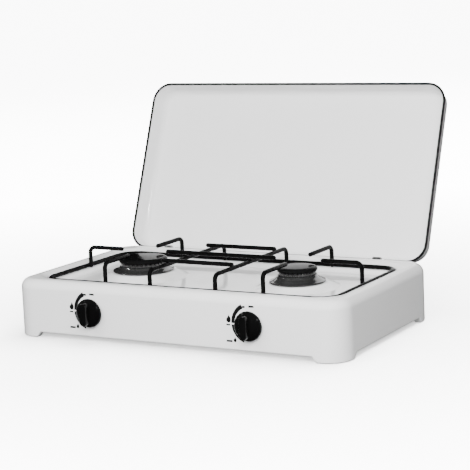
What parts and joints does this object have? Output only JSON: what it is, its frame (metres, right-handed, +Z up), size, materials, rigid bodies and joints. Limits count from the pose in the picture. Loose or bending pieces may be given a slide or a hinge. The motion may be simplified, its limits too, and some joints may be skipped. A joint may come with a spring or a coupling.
{
  "type": "camping stove",
  "caption": "Gas camping stove with burners under a lift-off wire pan support, turning taps and a hinged fold-back lid.",
  "frame": {"origin": "centre of the bounding box on the surface the stove stands on", "axes": "+X along the stove, to the right seen from the knobs; +Y towards the hinged back; +Z up"},
  "size_m": [0.5, 0.4226, 0.3162],
  "materials": {
    "white_enamel": "glossy vitreous enamel",
    "black_edging": "smooth, slightly glossy",
    "black_enamel": "glossy vitreous enamel",
    "burner_aluminium": "as cast, lightly machined",
    "chrome": "polished",
    "zinc_steel": "zinc plated",
    "brass": "machined",
    "black_plastic": "glossy moulded",
    "black_print": "screen printed ink"
  },
  "bodies": {
    "base": {"body_shell": "white_enamel", "hinge_lug_left": "zinc_steel", "lug_rivet_left": "zinc_steel", "burner_ring_left": "chrome", "mixing_tube_left": "zinc_steel", "flange_screw_left_a": "zinc_steel", "flange_screw_left_b": "zinc_steel", "valve_body_left": "brass", "valve_bonnet_left": "zinc_steel", "injector_left": "brass", "rail_clamp_left": "zinc_steel", "clamp_screw_left": "zinc_steel", "hinge_lug_right": "zinc_steel", "lug_rivet_right": "zinc_steel", "burner_ring_right": "chrome", "mixing_tube_right": "zinc_steel", "flange_screw_right_a": "zinc_steel", "flange_screw_right_b": "zinc_steel", "valve_body_right": "brass", "valve_bonnet_right": "zinc_steel", "injector_right": "brass", "rail_clamp_right": "zinc_steel", "clamp_screw_right": "zinc_steel", "gas_rail": "zinc_steel", "rail_bracket": "zinc_steel", "inlet_hose_tail": "brass", "inlet_lock_nut": "brass"},
    "lid": {"lid_shell": "white_enamel", "lid_edge_bead": "black_edging", "lid_rear_bead": "black_edging", "hinge_leaf_left": "zinc_steel", "hinge_pin_left": "zinc_steel", "leaf_rivet_left": "zinc_steel", "hinge_leaf_right": "zinc_steel", "hinge_pin_right": "zinc_steel", "leaf_rivet_right": "zinc_steel"},
    "pan_support": {"grate_frame": "black_enamel", "grate_rod_left": "black_enamel", "grate_rod_right": "black_enamel", "grate_bar_back": "black_enamel", "grate_bar_middle": "black_enamel", "grate_bar_front": "black_enamel", "grate_finger_left_front": "black_enamel", "grate_finger_left_back": "black_enamel", "grate_finger_left_outer": "black_enamel", "grate_finger_right_front": "black_enamel", "grate_finger_right_back": "black_enamel", "grate_finger_right_outer": "black_enamel"},
    "crown_left": {"burner_crown_left": "burner_aluminium"},
    "cap_left": {"burner_cap_left": "black_enamel"},
    "plug_left": {"valve_plug_left": "brass"},
    "tap_left": {"valve_stem_left": "zinc_steel", "valve_spring_left": "zinc_steel", "knob_left": "black_plastic"},
    "crown_right": {"burner_crown_right": "burner_aluminium"},
    "cap_right": {"burner_cap_right": "black_enamel"},
    "plug_right": {"valve_plug_right": "brass"},
    "tap_right": {"valve_stem_right": "zinc_steel", "valve_spring_right": "zinc_steel", "knob_right": "black_plastic"}
  },
  "joints": [
    {"name": "lid_hinge", "type": "hinge", "parent": "base", "child": "lid", "pos_m": [0, 0.09152, 0.07852], "axis": [-1, 0, 0], "range_deg": [-112, 0]},
    {"name": "pan_support_lift", "type": "slide", "parent": "base", "child": "pan_support", "axis": [0, 0, 1], "range_m": [0, 0.04]},
    {"name": "crown_left_lift", "type": "slide", "parent": "base", "child": "crown_left", "axis": [0, 0, 1], "range_m": [0, 0.02]},
    {"name": "cap_left_lift", "type": "slide", "parent": "crown_left", "child": "cap_left", "axis": [0, 0, 1], "range_m": [0, 0.02]},
    {"name": "tap_left_turn", "type": "hinge", "parent": "base", "child": "plug_left", "pos_m": [-0.1214, -0.19, 0.0415], "axis": [0, -1, 0], "range_deg": [0, 150]},
    {"name": "tap_left_push", "type": "slide", "parent": "plug_left", "child": "tap_left", "axis": [0, 1, 0], "range_m": [0, 0.003], "stiffness_N_per_m": 1000, "springref_m": -0.003},
    {"name": "crown_right_lift", "type": "slide", "parent": "base", "child": "crown_right", "axis": [0, 0, 1], "range_m": [0, 0.02]},
    {"name": "cap_right_lift", "type": "slide", "parent": "crown_right", "child": "cap_right", "axis": [0, 0, 1], "range_m": [0, 0.02]},
    {"name": "tap_right_turn", "type": "hinge", "parent": "base", "child": "plug_right", "pos_m": [0.1214, -0.19, 0.0415], "axis": [0, -1, 0], "range_deg": [0, 150]},
    {"name": "tap_right_push", "type": "slide", "parent": "plug_right", "child": "tap_right", "axis": [0, 1, 0], "range_m": [0, 0.003], "stiffness_N_per_m": 1000, "springref_m": -0.003}
  ]
}
